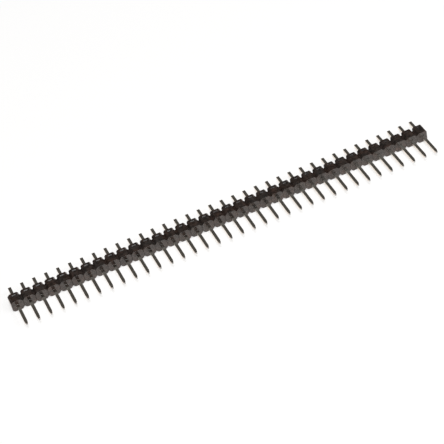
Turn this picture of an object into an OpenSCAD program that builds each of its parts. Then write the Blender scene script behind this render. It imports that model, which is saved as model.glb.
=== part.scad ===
// Single-row breakaway pin header strip: one moulded housing of octagonal positions in a row, with a
// square metal pin pressed through each position. The strip lies on one side flat: +X runs along the
// row, the long mating ends of the pins point to -Y, the short solder tails to +Y, and +Z is up.
// The origin is at the middle of the underside of the whole part's box.

/* [Strip] */
// Number of positions in the row
positions = 36; // [2:1:50]
// Distance from one pin to the next
pitch = 2.54; // [2:0.01:5.08]
// How far the -X end of the housing stands inside the first position's full half pitch
first_trim = 0.05; // [0:0.01:0.4]
// How far the +X end stands inside the last position's full half pitch
last_trim = 0.27; // [0:0.01:0.4]

/* [Housing] */
// Distance between the two side flats of the housing, along Z
housing_h = 2.5; // [2:0.05:5]
// Distance from the tail face to the mating face, along the pins
housing_d = 2.5; // [1.5:0.05:8]
// Leg of the 45 degree corner on each position, where neighbours form a V notch
corner = 0.48; // [0.2:0.01:0.6]

/* [Break points] */
// Width of the slot between the feet of two neighbouring positions
slot_w = 0.42; // [0.1:0.01:0.8]
// How far the feet stand past the necks, along the pins
foot_l = 0.56; // [0.1:0.01:1]
// Width of the scored line between two positions on the mating face
score_w = 0.14; // [0.04:0.01:0.3]
// Depth of the scored line
score_d = 0.07; // [0.02:0.01:0.3]

/* [Gate marks] */
// Width of the slanted gate mark on the upper flat of each position, along the row
gate_w = 0.84; // [0.2:0.01:0.9]
// Length of the gate mark, along the pins
gate_l = 0.30; // [0.1:0.01:0.6]
// Depth of the gate mark at its mating side; its floor rises to the flat at its tail side
gate_depth = 0.17; // [0.02:0.01:0.4]
// Distance from the tail face to the middle of the gate mark
gate_inset = 0.64; // [0.4:0.01:1.2]

/* [Pins] */
// Side of the square pin
pin_w = 0.64; // [0.4:0.01:0.8]
// Clearance on each side of a pin in its hole, 0 for the pressed fit
pin_clear = 0; // [0:0.005:0.05]
// Length of the mating end, from the housing to the tip
mate_l = 5.95; // [3:0.05:15]
// Length of the solder tail, from the housing to the tip
tail_l = 3.05; // [2:0.05:8]
// Length of the taper at the mating tip
mate_tip_l = 0.65; // [0.1:0.01:1.2]
// Side of the small square end of the mating tip
mate_tip_w = 0.36; // [0.1:0.01:0.38]
// Length of the taper at the tail tip
tail_tip_l = 0.12; // [0.05:0.01:1]
// How far the taper of the tail tip steps in on each side of the pin
tail_tip_in = 0.07; // [0.02:0.01:0.18]

/* [Hidden] */
// How far a cutter runs past the face that it opens
over = 0.1;
strip_l = positions * pitch - first_trim - last_trim;
pin_l = mate_l + housing_d + tail_l;
pin_z = housing_h / 2;
y_tail_tip = pin_l / 2;
y_mate_tip = -pin_l / 2;
y_tail_face = y_tail_tip - tail_l;
y_mate_face = y_tail_face - housing_d;
y_neck = y_tail_face - foot_l;

// Middle of position i along the row, counted from 0 at the -X end
function pos_x(i) = (i + 0.5) * pitch - first_trim - strip_l / 2;

// Side of the break point after position i
function break_x(i) = pos_x(i) + pitch / 2;

// pin_01, pin_02 and so on
function pin_name(i) = str("pin_", i < 9 ? "0" : "", i + 1);

// One long edge of the row of octagons, from -X to +X: a neck, then the two corners of a flat
function edge_points() = concat(
    [for (i = [0 : positions - 1], p = [
        [pos_x(i) - pitch / 2, housing_h / 2 - corner],
        [pos_x(i) - pitch / 2 + corner, housing_h / 2],
        [pos_x(i) + pitch / 2 - corner, housing_h / 2]]) p],
    [[break_x(positions - 1), housing_h / 2 - corner]]);

// Outline of the housing seen along the pins: the upper edge, then the same edge below, turned back
function strip_outline() = let (upper = edge_points(), last = len(upper) - 1)
    concat(upper, [for (i = [0 : last]) [upper[last - i].x, -upper[last - i].y]]);

// Outline of a pin, from the mating tip round to the tail tip and back
function pin_outline() = [
    [-mate_tip_w / 2, y_mate_tip],
    [mate_tip_w / 2, y_mate_tip],
    [pin_w / 2, y_mate_tip + mate_tip_l],
    [pin_w / 2, y_tail_tip - tail_tip_l],
    [pin_w / 2 - tail_tip_in, y_tail_tip],
    [tail_tip_in - pin_w / 2, y_tail_tip],
    [-pin_w / 2, y_tail_tip - tail_tip_l],
    [-pin_w / 2, y_mate_tip + mate_tip_l]];

// The row of octagons as one bar, from the tail face to the mating face, with both ends trimmed
module octagon_row() {
    intersection() {
        translate([0, y_tail_face, pin_z])
            rotate([90, 0, 0])
                linear_extrude(housing_d)
                    polygon(strip_outline());
        translate([-strip_l / 2, y_mate_face - over, -over])
            cube([strip_l, housing_d + 2 * over, housing_h + 2 * over]);
    }
}

// Square hole for the pin of position i, as long as the housing
module pin_hole(i) {
    side = pin_w + 2 * pin_clear;
    translate([pos_x(i) - side / 2, y_mate_face - over, pin_z - side / 2])
        cube([side, housing_d + 2 * over, side]);
}

// Slot after position i: it parts the feet and leaves the neck
module foot_slot(i) {
    translate([break_x(i) - slot_w / 2, y_neck, -over])
        cube([slot_w, foot_l + over, housing_h + 2 * over]);
}

// Scored line after position i: a shallow V across the mating face
module score_line(i) {
    translate([break_x(i), y_mate_face, -over])
        linear_extrude(housing_h + 2 * over)
            polygon([[-score_w / 2, 0], [0, score_d], [score_w / 2, 0], [score_w / 2, -over], [-score_w / 2, -over]]);
}

// Gate mark on the upper flat of position i: a wedge, deepest at its mating side
module gate_mark(i) {
    rise = over * gate_depth / gate_l;
    translate([pos_x(i) - gate_w / 2, y_tail_face - gate_inset - gate_l / 2, housing_h])
        rotate([90, 0, 90])
            linear_extrude(gate_w)
                polygon([[0, -gate_depth], [gate_l + over, rise], [0, rise]]);
}

module housing() {
    color([0.10, 0.09, 0.08])
        difference() {
            octagon_row();
            for (i = [0 : positions - 1]) {
                pin_hole(i);
                gate_mark(i);
            }
            for (i = [0 : positions - 2]) {
                foot_slot(i);
                score_line(i);
            }
        }
}

// Square pin of position i: the same tapered outline is cut from above and from the side
module pin(i) {
    color([0.62, 0.60, 0.56])
        translate([pos_x(i), 0, pin_z])
            intersection() {
                linear_extrude(pin_w, center = true) polygon(pin_outline());
                rotate([0, 90, 0])
                    linear_extrude(pin_w, center = true) polygon(pin_outline());
            }
}

housing();
for (i = [0 : positions - 1])
    pin(i);
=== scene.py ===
# %% [markdown]
# # A breakaway pin header strip
# The object is a black moulded housing with a row of square metal pins pressed through it. It lies on
# one side flat, so the pins are level with the table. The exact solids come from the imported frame. The
# cells below give them the rounded edges, marks and finishes that the real pieces have.

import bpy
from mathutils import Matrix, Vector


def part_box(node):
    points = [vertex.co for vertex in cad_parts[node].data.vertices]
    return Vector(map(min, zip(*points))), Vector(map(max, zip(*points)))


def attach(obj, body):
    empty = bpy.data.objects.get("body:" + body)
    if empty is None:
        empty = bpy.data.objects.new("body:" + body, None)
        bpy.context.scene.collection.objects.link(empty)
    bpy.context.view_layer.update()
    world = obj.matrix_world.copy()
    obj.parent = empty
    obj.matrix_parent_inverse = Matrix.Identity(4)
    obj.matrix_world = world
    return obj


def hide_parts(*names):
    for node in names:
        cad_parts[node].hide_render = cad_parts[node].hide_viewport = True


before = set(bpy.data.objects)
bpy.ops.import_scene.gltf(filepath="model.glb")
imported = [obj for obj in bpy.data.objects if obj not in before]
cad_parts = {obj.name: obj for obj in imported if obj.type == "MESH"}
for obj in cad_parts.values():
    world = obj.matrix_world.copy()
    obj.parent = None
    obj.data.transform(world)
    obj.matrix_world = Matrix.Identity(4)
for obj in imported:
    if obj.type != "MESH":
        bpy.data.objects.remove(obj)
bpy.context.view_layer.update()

# %% Modules used below
import math

import bmesh
import bpy
from mathutils import Matrix, Vector, noise

# %% [markdown]
# ## Sizes come from the frame
# A detailed mesh is only useful if it fits the solid that it stands for. The sizes could be typed in
# once more, but then a change to the solids would leave the meshes behind. So the cells read every size
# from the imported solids: `levels` lists the different places along one axis at which some corners of a
# node lie. Meshes are drawn in millimetres, because Blender's bevel works badly on tiny numbers, and
# they are scaled to metres once at the end.

# %% Read the levels of a node
mm = 0.001


def corners_of(node, left, right):
    """The corners of a node, in millimetres, that lie between two places along the row."""
    places = [vertex.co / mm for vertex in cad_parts[node].data.vertices]
    return [place for place in places if left <= place.x <= right]


def levels(places, axis, origin=0.0):
    """The different coordinates of some places along an axis, from origin."""
    return sorted({round(place[axis] - origin, 3) for place in places})


def middle(node, axis):
    """The middle of a node's box along an axis, in millimetres."""
    low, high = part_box(node)
    return (low[axis] + high[axis]) / 2 / mm


pin_names = sorted(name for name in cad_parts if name.startswith("pin_"))
pin_places = [middle(name, 0) for name in pin_names]
pin_height = middle(pin_names[0], 2)
pitch = (pin_places[-1] - pin_places[0]) / (len(pin_places) - 1)
print(len(pin_names), "pins, pitch", round(pitch, 3), "mm, height", round(pin_height, 3), "mm")

# %% [markdown]
# ## One position stands for all
# Every position of the row is alike, apart from the two at the ends, which are cut a little shorter.
# The shape could be read once for each pin, but one inner position tells it all: the half widths of
# its hole, flats and slots, the depths of its faces, and the steps of its pin. Here and below, two
# places that are closer than `slack` millimetres count as the same place.

# %% Read the shape of one position
slack = 0.01
inner_place = pin_places[1]
right_half = corners_of("housing", inner_place + slack, inner_place + pitch / 2 + slack)
half_levels = levels(right_half, 0, inner_place)
hole_half, gate_half, flat_half, foot_half, score_edge, cell_half = half_levels
depth_levels = levels(right_half, 1)
mate_y, score_y, gate_front, neck_y, gate_back, tail_y = depth_levels
near_gate = corners_of("housing", inner_place + slack, inner_place + gate_half + slack)
gate_floor, half_height = levels(near_gate, 2, pin_height)[-2:]
gate_depth = half_height - gate_floor
print("half widths", half_levels)
print("depths", depth_levels, "gate depth", round(gate_depth, 3), "half height", half_height)

# %% Read the shape of one pin
near_pin = corners_of(pin_names[1], inner_place + slack, inner_place + pitch / 2)
mate_tip, mate_shoulder, tail_shoulder, tail_tip = levels(near_pin, 1)
tip_half, tail_half, pin_half = levels(near_pin, 0, inner_place)
print("pin along its axis", mate_tip, mate_shoulder, tail_shoulder, tail_tip)
print("pin half widths", tip_half, tail_half, pin_half)

# %% [markdown]
# ## The camera comes first
# The strip is seen from above and a little from the left, with a long lens that hardly narrows the far
# end. A camera could be dragged into place by hand, but round numbers are easier to change and to
# repeat: how far it is turned, how high it stands, how far away it is, and how much it leans. The aim
# point lies on the strip.

# %% Camera
aim_point = Vector((-0.91, -0.20, 1.25)) * mm
view_turn = math.radians(15.09)
view_height = math.radians(41.42)
view_distance = 0.3175
view_lean = math.radians(-12.51)
lens_length = 129.65
sensor_width = 36.0

toward_camera = Vector((
    -math.sin(view_turn) * math.cos(view_height),
    -math.cos(view_turn) * math.cos(view_height),
    math.sin(view_height),
))
camera_data = bpy.data.cameras.new("camera")
camera_data.lens = lens_length
camera_data.sensor_width = sensor_width
camera_data.clip_start = 0.01
camera_data.clip_end = 20.0
camera = bpy.data.objects.new("camera", camera_data)
bpy.context.scene.collection.objects.link(camera)
level_turn = (-toward_camera).to_track_quat("-Z", "Y").to_matrix()
camera.matrix_world = (
    Matrix.Translation(aim_point + toward_camera * view_distance)
    @ level_turn.to_4x4()
    @ Matrix.Rotation(view_lean, 4, "Z")
)
bpy.context.scene.camera = camera
print("camera at", [round(value, 4) for value in camera.matrix_world.translation])

# %% [markdown]
# ## Effects that several finishes share
# Grain, scuffs, dust and patchiness appear on the plastic and on the metal, only with other sizes and
# strengths. Each could be drawn again in every material, but a node group with named inputs is made
# once, and every material places it with its own values. Patterns are laid out in millimetres on the
# object itself, so they stay put in any view.

# %% Helpers: a node group, its nodes and their links
def new_effect(name, inputs, outputs):
    """A node group with float inputs {name: default} and float outputs; returns (tree, in, out)."""
    tree = bpy.data.node_groups.new(name, "ShaderNodeTree")
    for label, default in inputs.items():
        socket = tree.interface.new_socket(label, in_out="INPUT", socket_type="NodeSocketFloat")
        socket.default_value = default
    for label in outputs:
        tree.interface.new_socket(label, in_out="OUTPUT", socket_type="NodeSocketFloat")
    return tree, tree.nodes.new("NodeGroupInput"), tree.nodes.new("NodeGroupOutput")


def add_node(tree, kind, values=None, **settings):
    """A node with its settings and with values for its unlinked inputs."""
    node = tree.nodes.new(kind)
    for label, value in settings.items():
        setattr(node, label, value)
    for label, value in (values or {}).items():
        node.inputs[label].default_value = value
    return node


def feed(tree, source, target):
    """Feeds an input: source is a socket to link or a plain value to set."""
    if isinstance(source, bpy.types.NodeSocket):
        tree.links.new(source, target)
    else:
        target.default_value = source


def describe(effect):
    """Prints an effect's name and its sockets."""
    print("effect:", effect.name, [socket.name for socket in effect.interface.items_tree])


# %% Helpers: sums, smooth steps and noise
def reckon(tree, operation, first, second, clamp=False):
    """A Math node; first and second are sockets or numbers. Returns its output socket."""
    node = add_node(tree, "ShaderNodeMath", operation=operation, use_clamp=clamp)
    feed(tree, first, node.inputs[0])
    feed(tree, second, node.inputs[1])
    return node.outputs[0]


def ramp(tree, value, low, high, to_low=0.0, to_high=1.0):
    """A smooth step of a value from low..high to to_low..to_high. Returns its output socket."""
    node = add_node(tree, "ShaderNodeMapRange", interpolation_type="SMOOTHSTEP")
    for label, source in (("Value", value), ("From Min", low), ("From Max", high),
                          ("To Min", to_low), ("To Max", to_high)):
        feed(tree, source, node.inputs[label])
    return node.outputs["Result"]


def millimetres(tree, stretch=(1.0, 1.0, 1.0)):
    """Object coordinates in millimetres, squeezed along the axes by stretch."""
    place = add_node(tree, "ShaderNodeTexCoord")
    scaled = add_node(tree, "ShaderNodeVectorMath", operation="MULTIPLY")
    tree.links.new(place.outputs["Object"], scaled.inputs[0])
    scaled.inputs[1].default_value = [factor / mm for factor in stretch]
    return scaled.outputs[0]


def noise_on(tree, place, per_mm, detail, roughness):
    """A Noise texture at a place; per_mm is a socket with its features per millimetre."""
    node = add_node(tree, "ShaderNodeTexNoise", {"Detail": detail, "Roughness": roughness})
    tree.links.new(place, node.inputs["Vector"])
    tree.links.new(per_mm, node.inputs["Scale"])
    return node.outputs["Fac"]


# %% [markdown]
# ### Fine grain
# A moulded face copies the surface of its mould, and a plated one the grain of the metal below. An
# image would show it at one size only, so it is a sum of two noises, a fine one and a coarse one. The
# sum is a relief for the bump, and the same relief as a mask varies the gloss.

# %% Effect: fine grain
coarse_ratio = 0.22
mask_low, mask_high = 0.35, 0.65


def make_grain():
    """Grain of the surface: a fine random relief and the same relief as a mask."""
    tree, given, made = new_effect(
        "fine grain", {"Grain Size": 0.05, "Coarse Share": 0.4}, ["Height", "Mask"])
    place = millimetres(tree)
    per_mm = reckon(tree, "DIVIDE", 1.0, given.outputs["Grain Size"])
    fine = noise_on(tree, place, per_mm, detail=3.0, roughness=0.6)
    coarse_per_mm = reckon(tree, "MULTIPLY", per_mm, coarse_ratio)
    coarse = noise_on(tree, place, coarse_per_mm, detail=2.0, roughness=0.5)
    coarse_part = reckon(tree, "MULTIPLY", coarse, given.outputs["Coarse Share"])
    fine_share = reckon(tree, "SUBTRACT", 1.0, given.outputs["Coarse Share"])
    fine_part = reckon(tree, "MULTIPLY", fine, fine_share)
    height = reckon(tree, "ADD", fine_part, coarse_part)
    tree.links.new(height, made.inputs["Height"])
    tree.links.new(ramp(tree, height, mask_low, mask_high), made.inputs["Mask"])
    return tree


grain_effect = make_grain()
describe(grain_effect)

# %% [markdown]
# ### Long lines
# Wire is pulled through a die, which leaves fine lines along it, and a part that slides over others
# gets rub marks. Both could be scratches drawn one by one. A noise that is stretched along the pins
# gives thousands of them at once, and its highest parts are the lines that show as a mask.

# %% Effect: drawn or rubbed lines along the pins
line_stretch = (1.0, 0.03, 1.0)
line_edge = 0.12


def make_lines():
    """Long thin lines along the pins, from the drawing die or from rubbing."""
    tree, given, made = new_effect(
        "long lines", {"Line Width": 0.03, "Sparseness": 0.5}, ["Height", "Mask"])
    place = millimetres(tree, line_stretch)
    per_mm = reckon(tree, "DIVIDE", 1.0, given.outputs["Line Width"])
    lines = noise_on(tree, place, per_mm, detail=2.0, roughness=0.7)
    tree.links.new(lines, made.inputs["Height"])
    start = given.outputs["Sparseness"]
    mask = ramp(tree, lines, start, reckon(tree, "ADD", start, line_edge))
    tree.links.new(mask, made.inputs["Mask"])
    return tree


lines_effect = make_lines()
describe(lines_effect)

# %% [markdown]
# ### A scuffed zone
# Pins that are gripped and pushed are rubbed dull over the same stretch, all along the row. A painted
# mask would need its own image, and a zone along one axis needs only four places: where the scuffing
# starts, where it is full, where it begins to fade and where it ends.

# %% Effect: a scuffed zone along the pins
def make_scuff():
    """A zone along the pins that fades in from Start to Full and out again from Fade to End."""
    tree, given, made = new_effect(
        "scuffed zone", {"Start": 0.0, "Full": 1.0, "Fade": 2.0, "End": 3.0}, ["Mask"])
    along = add_node(tree, "ShaderNodeSeparateXYZ")
    tree.links.new(millimetres(tree), along.inputs[0])
    rise = ramp(tree, along.outputs["Y"], given.outputs["Start"], given.outputs["Full"])
    fall = ramp(tree, along.outputs["Y"], given.outputs["Fade"], given.outputs["End"], 1.0, 0.0)
    tree.links.new(reckon(tree, "MULTIPLY", rise, fall), made.inputs["Mask"])
    return tree


scuff_effect = make_scuff()
describe(scuff_effect)

# %% [markdown]
# ### Cloudy patches
# Plate clouds over and plastic flows unevenly, so no finish is quite the same from place to place. The
# middle of a noise, spread out by a soft step, makes such patches. The size says how far apart they
# lie, and a small softness gives them a clear edge.

# %% Effect: cloudy patches
noise_middle = 0.5


def make_patches():
    """Soft patches that make a finish a little uneven from place to place."""
    tree, given, made = new_effect(
        "cloudy patches", {"Patch Size": 2.0, "Softness": 0.25}, ["Mask"])
    place = millimetres(tree)
    per_mm = reckon(tree, "DIVIDE", 1.0, given.outputs["Patch Size"])
    clouds = noise_on(tree, place, per_mm, detail=3.0, roughness=0.55)
    low = reckon(tree, "SUBTRACT", noise_middle, given.outputs["Softness"])
    high = reckon(tree, "ADD", noise_middle, given.outputs["Softness"])
    tree.links.new(ramp(tree, clouds, low, high), made.inputs["Mask"])
    return tree


patches_effect = make_patches()
describe(patches_effect)

# %% [markdown]
# ### Dust
# Black plastic and bright metal both show dust. Loose specks could be small objects of their own, but
# they would be no part of the real thing. Here the middle of each cell of a Voronoi texture is a speck,
# and the cell's random colour decides whether that speck is kept.

# %% Effect: dust
def make_dust():
    """Sparse specks of dust: the middles of scattered cells, of which a share is kept."""
    tree, given, made = new_effect(
        "dust specks", {"Speck Spacing": 0.35, "Speck Size": 0.10, "Share": 0.5}, ["Mask"])
    place = millimetres(tree)
    per_mm = reckon(tree, "DIVIDE", 1.0, given.outputs["Speck Spacing"])
    cells = add_node(tree, "ShaderNodeTexVoronoi", {"Randomness": 1.0}, feature="F1")
    tree.links.new(place, cells.inputs["Vector"])
    tree.links.new(per_mm, cells.inputs["Scale"])
    speck = ramp(tree, cells.outputs["Distance"], 0.0, given.outputs["Speck Size"], 1.0, 0.0)
    colour = add_node(tree, "ShaderNodeSeparateColor")
    tree.links.new(cells.outputs["Color"], colour.inputs["Color"])
    kept = reckon(tree, "LESS_THAN", colour.outputs["Red"], given.outputs["Share"])
    tree.links.new(reckon(tree, "MULTIPLY", speck, kept), made.inputs["Mask"])
    return tree


dust_effect = make_dust()
describe(dust_effect)

# %% [markdown]
# ## Black moulded plastic
# The housing is a glass-filled thermoplastic, almost black, with the gloss of a polished mould. One
# plain black would look like a hole, because a real black part shows what it mirrors and faint changes
# of its own colour. So the base is very dark and drifts from warm to cool in slow clouds, small soft
# mottles lighten and darken it, and grain, waves, rubbed lines and dust break up the mirror.
#
# Two places have a finish of their own. The slot walls are satin, as thin blades in a mould are seldom
# polished, and their colour is darker than the rest: painted shade in the deep slots. The floor of each
# gate mark is torn plastic, which is darker and rougher than the rest.

# %% Helpers: a material, its colours and its bump
def new_finish(name, metallic=0.0, ior=1.5):
    """A material with a Principled shader; returns (material, shader)."""
    material = bpy.data.materials.new(name)
    material.use_nodes = True
    tree = material.node_tree
    tree.nodes.clear()
    shader = add_node(tree, "ShaderNodeBsdfPrincipled", {"Metallic": metallic, "IOR": ior})
    result = add_node(tree, "ShaderNodeOutputMaterial")
    tree.links.new(shader.outputs["BSDF"], result.inputs["Surface"])
    return material, shader


def place_effect(material, effect, **values):
    """Places an effect in a material with its own values; underscores stand for spaces."""
    node = add_node(material.node_tree, "ShaderNodeGroup", node_tree=effect)
    node.label = effect.name
    for label, value in values.items():
        node.inputs[label.replace("_", " ")].default_value = value
    return node


def blend_colours(tree, mask, first, second):
    """A Mix node between two colours (sockets or RGB triples) by a mask. Returns its output socket."""
    mix = add_node(tree, "ShaderNodeMix", data_type="RGBA")
    tree.links.new(mask, mix.inputs["Factor"])
    for label, colour in (("A", first), ("B", second)):
        target = [entry for entry in mix.inputs if entry.name == label and entry.type == "RGBA"][0]
        is_socket = isinstance(colour, bpy.types.NodeSocket)
        feed(tree, colour if is_socket else (*colour, 1.0), target)
    return [entry for entry in mix.outputs if entry.type == "RGBA"][0]


def scaled_colour(tree, colour, factor):
    """A colour made darker or lighter by a factor (a socket). Returns its output socket."""
    scale = add_node(tree, "ShaderNodeVectorMath", operation="SCALE")
    tree.links.new(colour, scale.inputs[0])
    tree.links.new(factor, scale.inputs["Scale"])
    return scale.outputs[0]


def add_bump(tree, shader, height, depth_mm):
    """Bumps a shader's normal by a height from 0 to 1 that stands for depth_mm millimetres."""
    bump = add_node(tree, "ShaderNodeBump", {"Strength": 1.0, "Distance": depth_mm * mm})
    tree.links.new(height, bump.inputs["Height"])
    tree.links.new(bump.outputs["Normal"], shader.inputs["Normal"])


# %% Finish: black moulded plastic
dust_colour = (0.30, 0.28, 0.25)
dust_cover = 0.35
grain_dulling = 0.5
rub_dulling = 0.35
wave_share = 0.6


def make_black_plastic(name, warm, cool, mottling, gloss, rough, grain_size, grain_depth, shine=0.5):
    """Black plastic; gloss and rough are the lowest and highest roughness."""
    material, shader = new_finish(name, ior=1.65)
    shader.inputs["Specular IOR Level"].default_value = shine
    tree = material.node_tree
    grain = place_effect(material, grain_effect, Grain_Size=grain_size, Coarse_Share=0.45)
    clouds = place_effect(material, patches_effect, Patch_Size=1.9, Softness=0.22)
    mottles = place_effect(material, patches_effect, Patch_Size=0.55, Softness=0.22)
    dust = place_effect(material, dust_effect, Speck_Spacing=0.45, Speck_Size=0.09, Share=0.10)
    lines = place_effect(material, lines_effect, Line_Width=0.05, Sparseness=0.62)

    tint = blend_colours(tree, clouds.outputs["Mask"], warm, cool)
    shade = ramp(tree, mottles.outputs["Mask"], 0.0, 1.0, 1.0 - mottling, 1.0 + mottling)
    colour = scaled_colour(tree, tint, shade)
    dusty = reckon(tree, "MULTIPLY", dust.outputs["Mask"], dust_cover)
    colour = blend_colours(tree, dusty, colour, dust_colour)
    tree.links.new(colour, shader.inputs["Base Color"])

    rubbed = reckon(tree, "MULTIPLY", lines.outputs["Mask"], rub_dulling)
    grainy = reckon(tree, "MULTIPLY", grain.outputs["Mask"], grain_dulling)
    spread = reckon(tree, "ADD", grainy, rubbed)
    spread = reckon(tree, "ADD", spread, dust.outputs["Mask"], clamp=True)
    tree.links.new(ramp(tree, spread, 0.0, 1.0, gloss, rough), shader.inputs["Roughness"])

    waves = reckon(tree, "MULTIPLY", clouds.outputs["Mask"], wave_share)
    relief = reckon(tree, "ADD", grain.outputs["Height"], waves)
    add_bump(tree, shader, relief, grain_depth)
    print("finish:", name, "with roughness from", gloss, "to", rough)
    return material


black_plastic = make_black_plastic(
    "black_moulded_plastic", warm=(0.0425, 0.0250, 0.0190), cool=(0.0330, 0.0280, 0.0260),
    mottling=0.50, gloss=0.10, rough=0.32, grain_size=0.06, grain_depth=0.0012)
# The slot walls: a satin roughness of their own, and a darker colour that is painted shade in the slots.
satin_and_painted_shade_plastic = make_black_plastic(
    "satin_plastic_with_painted_shade", warm=(0.0300, 0.0180, 0.0140), cool=(0.0230, 0.0200, 0.0180),
    mottling=0.50, gloss=0.60, rough=0.85, grain_size=0.08, grain_depth=0.0040, shine=0.20)
torn_plastic = make_black_plastic(
    "torn_black_plastic", warm=(0.0190, 0.0135, 0.0110), cool=(0.0200, 0.0175, 0.0160),
    mottling=0.45, gloss=0.22, rough=0.40, grain_size=0.09, grain_depth=0.008, shine=0.29)

# %% [markdown]
# ## Tin-plated wire
# The pins are drawn square wire with a bright tin plate. A plain chrome would be too clean: plate
# follows the wire, so the fine lines of the drawing die still show along each pin, and the plate is a
# little cloudy. A short way out from the housing it is scuffed, which spreads its reflections.
#
# The tips are coined into blunt points, which squeezes the plate smooth. The small end squares are
# sheared, so they are darker and rougher than the plate.

# %% Finish: tin plate
scuff_reach = {"Start": 2.4, "Full": 1.3, "Fade": 1.1, "End": 0.7}
scuff_dulling = 0.20
line_tint = 0.25
line_shade = 0.8
line_dulling = 0.45
cloud_dulling = 0.35
grain_share = 0.25


def make_tin(name, bright, dull, gloss, rough, line_depth):
    """Plated metal; gloss and rough are the lowest and highest roughness."""
    material, shader = new_finish(name, metallic=1.0)
    tree = material.node_tree
    lines = place_effect(material, lines_effect, Line_Width=0.035, Sparseness=0.50)
    scuff_places = {label: mate_y - reach for label, reach in scuff_reach.items()}
    scuff = place_effect(material, scuff_effect, **scuff_places)
    clouds = place_effect(material, patches_effect, Patch_Size=0.9, Softness=0.20)
    grain = place_effect(material, grain_effect, Grain_Size=0.03, Coarse_Share=0.3)
    dust = place_effect(material, dust_effect, Speck_Spacing=0.5, Speck_Size=0.07, Share=0.06)

    colour = blend_colours(tree, clouds.outputs["Mask"], bright, dull)
    faint_lines = reckon(tree, "MULTIPLY", lines.outputs["Mask"], line_tint)
    colour = blend_colours(tree, faint_lines, colour, [value * line_shade for value in dull])
    tree.links.new(colour, shader.inputs["Base Color"])

    lined = reckon(tree, "MULTIPLY", lines.outputs["Mask"], line_dulling)
    cloudy = reckon(tree, "MULTIPLY", clouds.outputs["Mask"], cloud_dulling)
    spread = reckon(tree, "ADD", lined, cloudy)
    spread = reckon(tree, "ADD", spread, dust.outputs["Mask"], clamp=True)
    roughness = ramp(tree, spread, 0.0, 1.0, gloss, rough)
    scuffed = reckon(tree, "MULTIPLY", scuff.outputs["Mask"], scuff_dulling)
    tree.links.new(reckon(tree, "ADD", roughness, scuffed), shader.inputs["Roughness"])

    fine = reckon(tree, "MULTIPLY", grain.outputs["Height"], grain_share)
    add_bump(tree, shader, reckon(tree, "ADD", lines.outputs["Height"], fine), line_depth)
    print("finish:", name, "with roughness from", gloss, "to", rough)
    return material


tin_plate = make_tin(
    "tin_plated_wire", bright=(0.77, 0.75, 0.71), dull=(0.63, 0.61, 0.56),
    gloss=0.16, rough=0.34, line_depth=0.0006)
coined_tin = make_tin(
    "coined_tin_tip", bright=(0.73, 0.70, 0.66), dull=(0.55, 0.52, 0.49),
    gloss=0.12, rough=0.28, line_depth=0.0004)
sheared_end = make_tin(
    "sheared_pin_end", bright=(0.49, 0.52, 0.54), dull=(0.38, 0.40, 0.41),
    gloss=0.35, rough=0.55, line_depth=0.0010)

# %% [markdown]
# ## From drawn faces to a moulded piece
# A moulded edge is never sharp: the mould is eroded or polished, and every edge comes out with a small
# radius that catches the light. The rounding could be drawn by hand, but a modifier does it the same
# way everywhere. Each piece's faces are drawn corner by corner, each edge gets a weight that says how
# round it is, a Bevel modifier rounds the edges by their weights, and a Weighted Normal modifier keeps
# the flats flat. The result is kept as a plain mesh.

# %% Helpers: draw faces that share their corners
def shared_corner(sheet, corners, place):
    """The corner at a place in millimetres, made once and then shared by every face that meets it."""
    key = tuple(round(value, 4) + 0.0 for value in place)
    if key not in corners:
        corners[key] = sheet.verts.new(key)
    return corners[key]


def draw_face(sheet, corners, places):
    """A face through a list of places."""
    return sheet.faces.new([shared_corner(sheet, corners, place) for place in places])


def sharp_edges(sheet, least_angle=math.radians(8)):
    """The edges at which the surface turns."""
    return [edge for edge in sheet.edges
            if len(edge.link_faces) == 2 and edge.calc_face_angle() > least_angle]


# %% Helper: round the weighted edges and store the mesh in metres
def finished_mesh(sheet, name, radius):
    """Rounds the edges of a drawn sheet by their bevel weights and returns the mesh in metres."""
    draft = bpy.data.meshes.new(name + "_draft")
    sheet.to_mesh(draft)
    sheet.free()
    draft.shade_smooth()
    stand_in = bpy.data.objects.new(name + "_draft", draft)
    bpy.context.scene.collection.objects.link(stand_in)
    rounding = stand_in.modifiers.new("rounded edges", "BEVEL")
    rounding.limit_method = "WEIGHT"
    rounding.offset_type = "OFFSET"
    rounding.width = radius
    rounding.segments = 3
    rounding.use_clamp_overlap = True
    flat_normals = stand_in.modifiers.new("flat faces stay flat", "WEIGHTED_NORMAL")
    flat_normals.mode = "FACE_AREA"
    flat_normals.weight = 80
    flat_normals.keep_sharp = True
    seen = stand_in.evaluated_get(bpy.context.evaluated_depsgraph_get())
    mesh = bpy.data.meshes.new_from_object(seen)
    mesh.name = name
    mesh.transform(Matrix.Scale(mm, 4))
    bpy.data.objects.remove(stand_in)
    bpy.data.meshes.remove(draft)
    return mesh


def add_piece(mesh, *finishes):
    """An object for a mesh, with its finishes in slot order, riding on the strip's one body."""
    piece = bpy.data.objects.new(mesh.name, mesh)
    bpy.context.scene.collection.objects.link(piece)
    for finish in finishes:
        mesh.materials.append(finish)
    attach(piece, "root")
    return piece


# %% [markdown]
# ## The housing
# The housing is one moulding: a row of octagonal positions that meet in V notches, parted by slots at
# their feet and by a scored line on the mating face, so that the row can be snapped. It could be cut
# from a bar with booleans, but those leave long thin faces that round badly. So it is drawn position
# by position, and neighbours share their corners, which joins them without a seam. Places are written
# as (across, depth, height), measured from the axis of the position's pin.

# %% One position: its outline and its two end faces
# The satin faces are the slot walls, whose darker colour is painted shade.
plain_face, torn_face, satin_painted_shade_face = 0, 1, 2


def chamfer_height(across):
    """Height of the 45 degree corner above the pin axis, at a distance across from the pin axis."""
    return half_height - (across - flat_half)


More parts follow.
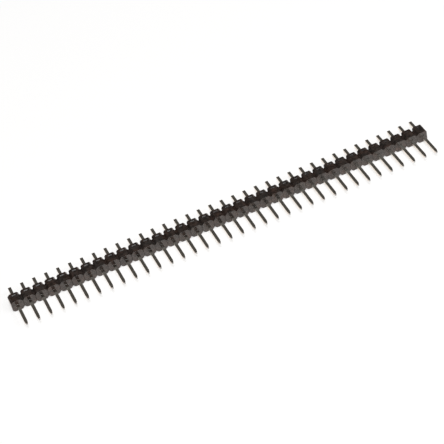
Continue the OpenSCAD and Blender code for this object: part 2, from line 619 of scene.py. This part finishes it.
def outline(left_half, right_half):
    """Eight corners (across, height) of a position, clockwise from its upper left."""
    left_height, right_height = chamfer_height(left_half), chamfer_height(right_half)
    return [
        (-left_half, left_height), (-flat_half, half_height),
        (flat_half, half_height), (right_half, right_height),
        (right_half, -right_height), (flat_half, -half_height),
        (-flat_half, -half_height), (-left_half, -left_height),
    ]


def square_ring(half, depth):
    """The four corners (across, depth, height) of a square around the pin, clockwise."""
    return [(-half, depth, half), (half, depth, half), (half, depth, -half), (-half, depth, -half)]


def draw_end_face(draw, rim, depth, half):
    """The face of a position at a depth: four faces between its outline and a square hole."""
    hole = [(across, height) for across, _, height in square_ring(half, depth)]
    upper = [rim[1], rim[2], hole[1], hole[0]]
    right = [rim[2], rim[3], rim[4], rim[5], hole[2], hole[1]]
    lower = [rim[5], rim[6], hole[3], hole[2]]
    left = [rim[6], rim[7], rim[0], rim[1], hole[0], hole[3]]
    for part in (upper, right, lower, left):
        draw([(across, depth, height) for across, height in part])


print("an inner position is", round(2 * cell_half, 3), "mm wide and", 2 * half_height, "mm high")

# %% [markdown]
# Between two positions the side of a housing steps inwards twice: at the scored line on the mating
# face and at the slot between the feet. Drawing it as walls between a few places along the depth keeps
# each wall one flat face. At the ends of the strip there is no neighbour, so the side is one plain
# wall. The chamfers above and below run from the flats down to the same places.

# %% One position: its sides, from the flats to the neighbour or to the end of the strip
def draw_side(draw, side, end_half):
    """The side of a position, +1 or -1 along the row; end_half is None where a neighbour follows."""
    if end_half is None:
        rim = [(score_edge, mate_y), (cell_half, score_y), (cell_half, neck_y),
               (foot_half, neck_y), (foot_half, tail_y)]
        walls = [rim[0:2], rim[2:4], rim[3:5]]
    else:
        rim = [(end_half, mate_y), (end_half, tail_y)]
        walls = [rim]
    chamfer = [(flat_half, mate_y), *rim, (flat_half, tail_y)]
    for up in (1, -1):
        draw([(side * across, depth, up * chamfer_height(across)) for across, depth in chamfer])
    for wall in walls:
        upper = [(side * across, depth, chamfer_height(across)) for across, depth in wall]
        lower = [(across, depth, -height) for across, depth, height in reversed(upper)]
        in_slot = end_half is None and wall[0][1] > score_y
        # Slot walls get the satin finish, whose darker colour is painted shade.
        draw(upper + lower).material_index = satin_painted_shade_face if in_slot else plain_face


# %% [markdown]
# ### The collar around each pin
# A pin that is pressed through plastic pushes up a little of it around itself. A bump in the material
# would not catch the light at the root of the pin, so it is a real shape: a low ring that slopes up to
# the pin. The same rings of four corners also make the walls of the hole.

# %% One position: its collar and the walls of its hole
collar_width = 0.08
collar_height = 0.06


def draw_ring(draw, outer, inner):
    """Four faces between two rings of corners."""
    for turn in range(4):
        follow = (turn + 1) % 4
        draw([outer[turn], outer[follow], inner[follow], inner[turn]])


def draw_hole(draw):
    """The collar on the mating face and the hole from its crest to the tail face."""
    crest = square_ring(hole_half, mate_y - collar_height)
    draw_ring(draw, square_ring(hole_half + collar_width, mate_y), crest)
    draw_ring(draw, crest, square_ring(hole_half, tail_y))


# %% [markdown]
# ### The gate mark
# The gate is where the plastic entered the mould. Here it broke away on a slant: it leaves a notch in
# the upper flat, deep on the mating side and rising to the flat on the tail side. It could be cut from
# a flat face, but its floor needs points of its own. The floor is a grid that leans a little to one
# side and has a little noise in it, because plastic that tears away is never flat.

# %% One position: the upper flat with its gate notch
notch_columns, notch_rows = 8, 5
torn_depth = 0.012
torn_per_mm = 7
torn_lean = 0.30
lean_place = (2.5, 0.5)


def notch_floor(seed):
    """Rows of places on the torn floor, from the mating side to the tail side."""
    lean = torn_lean * noise.noise(Vector((seed, *lean_place)))
    floor = []
    for row in range(notch_rows + 1):
        share = row / notch_rows
        line = []
        for column in range(notch_columns + 1):
            across = gate_half * (2 * column / notch_columns - 1)
            depth = gate_front + (gate_back - gate_front) * share
            height = half_height - gate_depth * (1 - share)
            if 0 < row < notch_rows and 0 < column < notch_columns:
                tear = Vector((across * torn_per_mm, depth * torn_per_mm, seed))
                height += torn_depth * noise.noise(tear)
                height += lean * across * (1 - share)
            line.append((across, depth, height))
        floor.append(line)
    return floor


def draw_upper_flat(draw, seed):
    """The upper flat of a position, with the notch sunk in it."""
    flat = [(across, depth, half_height) for across, depth in (
        (-flat_half, mate_y), (flat_half, mate_y), (flat_half, tail_y), (-flat_half, tail_y))]
    mouth = [(across, depth, half_height) for across, depth in (
        (-gate_half, gate_front), (gate_half, gate_front),
        (gate_half, gate_back), (-gate_half, gate_back))]
    floor = notch_floor(seed)
    brim = [(across, gate_front, half_height) for across, _, _ in floor[0]]
    draw([flat[0], flat[1], *reversed(brim)])
    draw([flat[1], flat[2], mouth[2], mouth[1]])
    draw([flat[3], flat[0], mouth[0], mouth[3]])
    draw([flat[2], flat[3], *floor[-1]])
    for near, far in zip(floor, floor[1:]):
        for column in range(notch_columns):
            face = draw([near[column], near[column + 1], far[column + 1], far[column]])
            face.material_index = torn_face
    for column in range(notch_columns):
        draw([floor[0][column], floor[0][column + 1], brim[column + 1], brim[column]])
    for corner, side in ((mouth[0], 0), (mouth[1], -1)):
        draw([corner, *[line[side] for line in floor]])


print("gate notch", round(gate_back - gate_front, 3), "mm long and", 2 * gate_half, "mm wide")

# %% [markdown]
# ### How round each edge is
# The edges of a mould aren't all rounded alike. The long outer edges are the roundest, the mating face
# and the scored line are crisper, the edges of the holes and notches are hardly rounded, and inner
# corners have a smaller radius. One radius for all would blur the small marks, so each edge gets a
# share of it. An edge with no share is marked sharp, so that its two faces are shaded apart.

# %% Helper: the share of the radius for an edge
edge_radius = 0.06
hole_share = 0.2
score_share = 0.3
brim_share = 0.15
crisp_share = 0.4
inner_share = 0.6


def edge_weight(edge, axis_x):
    """How round an edge is, as a share of edge_radius, from where it lies."""
    ends = [(abs(corner.co.x - axis_x), corner.co.y, abs(corner.co.z - pin_height))
            for corner in edge.verts]
    if all(max(across, height) < hole_half + slack for across, _, height in ends):
        along_pin = abs(ends[0][1] - ends[1][1]) > slack
        return 0.0 if along_pin else hole_share
    if all(across > score_edge - slack and depth < score_y + slack for across, depth, _ in ends):
        return score_share
    if all(across < gate_half + slack and gate_front - slack < depth < gate_back + slack
           for across, depth, _ in ends):
        on_flat = all(height > half_height - slack for _, _, height in ends)
        return brim_share if on_flat else 0.0
    if all(depth < mate_y + slack for _, depth, _ in ends):
        return crisp_share
    return 1.0 if edge.is_convex else inner_share


# %% [markdown]
# ### The whole row
# One position could be copied by an Array modifier, but then every gate mark would be torn alike and
# the cut ends would need pieces of their own. A loop draws each position at its pin's place instead,
# and steps along the noise, so that no two gate marks are the same.

# %% The whole row
seed_step = 1.7


def draw_row(sheet):
    """Draws every position of the row, with the first and the last cut to the length of the strip."""
    corners = {}
    low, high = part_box("housing")
    for number, axis_x in enumerate(pin_places):
        def draw(places):
            shifted = [(axis_x + across, depth, pin_height + height) for across, depth, height in places]
            return draw_face(sheet, corners, shifted)

        left_end = axis_x - low.x / mm if number == 0 else None
        right_end = high.x / mm - axis_x if number == len(pin_places) - 1 else None
        draw_side(draw, -1, left_end)
        draw_side(draw, 1, right_end)
        front_rim = outline(left_end or score_edge, right_end or score_edge)
        back_rim = outline(left_end or foot_half, right_end or foot_half)
        draw_end_face(draw, front_rim, mate_y, hole_half + collar_width)
        draw_end_face(draw, back_rim, tail_y, hole_half)
        draw_hole(draw)
        draw_upper_flat(draw, seed=number * seed_step)
        draw([(-flat_half, mate_y, -half_height), (flat_half, mate_y, -half_height),
              (flat_half, tail_y, -half_height), (-flat_half, tail_y, -half_height)])


def build_housing():
    """The mesh of the housing, in metres."""
    sheet = bmesh.new()
    draw_row(sheet)
    bmesh.ops.recalc_face_normals(sheet, faces=sheet.faces)
    open_edges = [edge for edge in sheet.edges if not edge.is_manifold]
    print("housing:", len(sheet.faces), "drawn faces,", len(open_edges), "open edges")
    weights = sheet.edges.layers.float.new("bevel_weight_edge")
    for edge in sharp_edges(sheet):
        place = (edge.verts[0].co.x + edge.verts[1].co.x) / 2
        nearest = min(pin_places, key=lambda axis_x: abs(axis_x - place))
        edge[weights] = edge_weight(edge, nearest)
        edge.smooth = edge[weights] > 0
    return finished_mesh(sheet, "housing_moulding", edge_radius)


housing_piece = add_piece(build_housing(), black_plastic, torn_plastic, satin_and_painted_shade_plastic)
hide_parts("housing")
print("housing mesh:", len(housing_piece.data.polygons), "faces")

# %% [markdown]
# ## The pins
# A pin is a length of square wire with slightly rounded corners. It could be a box with bevels, but
# its two ends differ: the mating end has a long coined taper and the tail a short steep one that
# leaves it blunt. So each pin is drawn as a stack of rounded squares along its axis. Each taper starts
# over a short stretch, which makes its shoulder as soft as coining does, and the sheared ends are
# rounded by one step on a quarter circle.

# %% Helper: one rounded square of the stack
corner_steps = 4
wire_corner = 0.03
corner_limit = 0.35


def rounded_square(half):
    """Points of a square of that half width with rounded corners, as (across, height) pairs."""
    corner = min(wire_corner, half * corner_limit)
    points = []
    for turn in range(4):
        for step in range(corner_steps + 1):
            angle = math.pi / 2 * (turn + step / corner_steps)
            middle_x = (half - corner) * (1 if turn in (0, 3) else -1)
            middle_z = (half - corner) * (1 if turn in (0, 1) else -1)
            points.append((middle_x + corner * math.cos(angle), middle_z + corner * math.sin(angle)))
    return points


print("a rounded square has", len(rounded_square(pin_half)), "points")

# %% Helper: where the squares of a pin lie, and how wide they are
plate_face, coined_face, sheared_face = 0, 1, 2
shoulder = 0.04
tail_run = shoulder / 2
shoulder_dip = 0.3
end_rounding = 0.02
arc_share = 0.3
end_growth = 0.6


def pin_stations():
    """(place, half width, finish of the faces that follow) from the mating tip to the tail tip."""
    slope = (pin_half - tip_half) / (mate_shoulder - mate_tip)
    tail_slope = (pin_half - tail_half) / (tail_tip - tail_shoulder)
    return [
        (mate_tip, tip_half - end_rounding, coined_face),
        (mate_tip + end_rounding * arc_share, tip_half - end_rounding * arc_share, coined_face),
        (mate_tip + end_rounding, tip_half + slope * end_rounding * end_growth, coined_face),
        (mate_shoulder - shoulder, pin_half - slope * shoulder, coined_face),
        (mate_shoulder, pin_half - slope * shoulder * shoulder_dip, plate_face),
        (mate_shoulder + shoulder, pin_half, plate_face),
        ((mate_shoulder + mate_y) / 2, pin_half, plate_face),
        (mate_y, pin_half, plate_face),
        (tail_y, pin_half, plate_face),
        (tail_shoulder - tail_run, pin_half, plate_face),
        (tail_shoulder, pin_half - tail_slope * tail_run * shoulder_dip, coined_face),
        (tail_shoulder + tail_run, pin_half - tail_slope * tail_run, coined_face),
        (tail_tip - end_rounding, tail_half + tail_slope * end_rounding * end_growth, coined_face),
        (tail_tip - end_rounding * arc_share, tail_half - end_rounding * arc_share, coined_face),
        (tail_tip, tail_half - end_rounding, coined_face),
    ]


print("a pin has", len(pin_stations()), "stations")

# %% [markdown]
# Every pin is a mesh of its own, because the real pins are separate pieces. One mesh shared by all
# would be smaller, but the grain and the lines are laid out on the object, so shared pins would all
# wear the same marks.

# %% Draw one pin, then all of them
def build_pin(name, axis_x):
    """The mesh of a pin, in metres."""
    sheet = bmesh.new()
    rings = []
    stations = pin_stations()
    for place, half, _ in stations:
        rings.append([sheet.verts.new((axis_x + across, place, pin_height + height))
                      for across, height in rounded_square(half)])
    for ring, following, (_, _, finish) in zip(rings, rings[1:], stations):
        for step in range(len(ring)):
            after = (step + 1) % len(ring)
            face = sheet.faces.new([ring[step], ring[after], following[after], following[step]])
            face.material_index = finish
    sheet.faces.new(rings[0]).material_index = sheared_face
    sheet.faces.new(rings[-1]).material_index = sheared_face
    bmesh.ops.recalc_face_normals(sheet, faces=sheet.faces)
    return finished_mesh(sheet, name, end_rounding)


for name, axis_x in zip(pin_names, pin_places):
    pin_piece = add_piece(build_pin("plated_" + name, axis_x), tin_plate, coined_tin, sheared_end)
    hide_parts(name)
print("pins:", len(pin_names), "with", len(pin_piece.data.polygons), "faces each")

# %% [markdown]
# ## The table
# A glossy black part shows its surroundings more than its own colour. It lies on a white table that is
# bright enough to read as pure white, so the faces that look down mirror the table and turn grey. A
# plain white surface under strong lamps would do that too, but the pins' shadows would darken it. So
# the table glows a little, and it has two shaders: a warm one that reflections and bounced light meet,
# and a neutral one that the camera sees directly.

# %% Helper: one shader for what the camera sees, another for every other ray
def seen_or_met(tree, seen, met, target):
    """Feeds target with the shader seen where the camera looks directly, else with the shader met."""
    ray = add_node(tree, "ShaderNodeLightPath")
    either = add_node(tree, "ShaderNodeMixShader")
    for source, socket in (
            (ray.outputs["Is Camera Ray"], either.inputs[0]),
            (met.outputs[0], either.inputs[1]),
            (seen.outputs[0], either.inputs[2]),
            (either.outputs[0], target)):
        tree.links.new(source, socket)


# %% Table: a white surface that glows a little, so that it stays white under the strip
table_size = 3.0
table_roughness = 0.9
met_grey = 0.65
met_glow = 0.73
met_colour = (1.0, 0.91, 0.85, 1.0)
seen_grey = 0.50
seen_glow = 0.68
seen_colour = (1.0, 1.0, 1.0, 1.0)

reach = table_size / 2
table_data = bpy.data.meshes.new("table")
table_data.from_pydata(
    [(-reach, -reach, 0), (reach, -reach, 0), (reach, reach, 0), (-reach, reach, 0)],
    [], [(0, 1, 2, 3)])
table = bpy.data.objects.new("table", table_data)
bpy.context.scene.collection.objects.link(table)
table_finish, met_table = new_finish("white_table")
seen_table = add_node(table_finish.node_tree, "ShaderNodeBsdfPrincipled")
for shader, grey, colour, glow in (
        (met_table, met_grey, met_colour, met_glow),
        (seen_table, seen_grey, seen_colour, seen_glow)):
    shader.inputs["Base Color"].default_value = (grey, grey, grey, 1.0)
    shader.inputs["Roughness"].default_value = table_roughness
    shader.inputs["Emission Color"].default_value = colour
    shader.inputs["Emission Strength"].default_value = glow
table_surface = table_finish.node_tree.nodes["Material Output"].inputs["Surface"]
seen_or_met(table_finish.node_tree, seen_table, met_table, table_surface)
table_data.materials.append(table_finish)
print("table:", table_size, "m wide, glow", met_glow, "as met and", seen_glow, "as seen")

# %% [markdown]
# ## The room
# The faces that look up mirror the room, and a dim room keeps them black. Real walls would have to be
# modelled and lit, while a world background of one colour is plain and even. The camera also sees past
# the table's edge in low views, so it sees a pale backdrop there, and only reflections meet the dim,
# warm room.

# %% Surroundings: pale where the camera sees past the table, dim and warm in reflections
room_colour = (0.088, 0.082, 0.074, 1.0)
backdrop_colour = (1.05, 1.05, 1.05, 1.0)
world = bpy.data.worlds.new("studio")
world.use_nodes = True
bpy.context.scene.world = world
world.node_tree.nodes.clear()
room = add_node(world.node_tree, "ShaderNodeBackground", {"Color": room_colour})
backdrop = add_node(world.node_tree, "ShaderNodeBackground", {"Color": backdrop_colour})
sky = add_node(world.node_tree, "ShaderNodeOutputWorld")
seen_or_met(world.node_tree, backdrop, room, sky.inputs["Surface"])
print("room colour", room_colour[:3], "backdrop", backdrop_colour[:3])

# %% [markdown]
# ## The lights
# Two softboxes light the strip. The brighter one hangs almost overhead, a little towards the mating
# ends. The other stands lower, in front and to the right, and lights the faces that look that way.
# Lamps without a size would leave only hard dots on metal as smooth as this, so both are rectangles,
# and the metal mirrors them as soft pale fields.

# %% Lights
def add_softbox(name, direction, distance, width, height, brightness):
    """A softbox seen from the strip in a direction; brightness 1 is about that of the table."""
    light = bpy.data.lights.new(name, "AREA")
    light.shape = "RECTANGLE"
    light.size = width
    light.size_y = height
    light.energy = brightness * math.pi * width * height
    softbox = bpy.data.objects.new(name, light)
    bpy.context.scene.collection.objects.link(softbox)
    away = Vector(direction).normalized()
    softbox.location = away * distance
    softbox.rotation_mode = "QUATERNION"
    softbox.rotation_quaternion = away.to_track_quat("Z", "Y")
    print(name, width, "by", height, "m at", distance, "m, energy", round(light.energy, 2), "W")


add_softbox("overhead_softbox", direction=(-0.05, -0.21, 0.98), distance=0.70,
            width=0.36, height=0.48, brightness=4.5)
add_softbox("right_softbox", direction=(0.585, -0.525, 0.62), distance=0.80,
            width=0.55, height=0.50, brightness=2.1)
bpy.context.scene.view_settings.view_transform = "Standard"
bpy.context.scene.view_settings.look = "None"
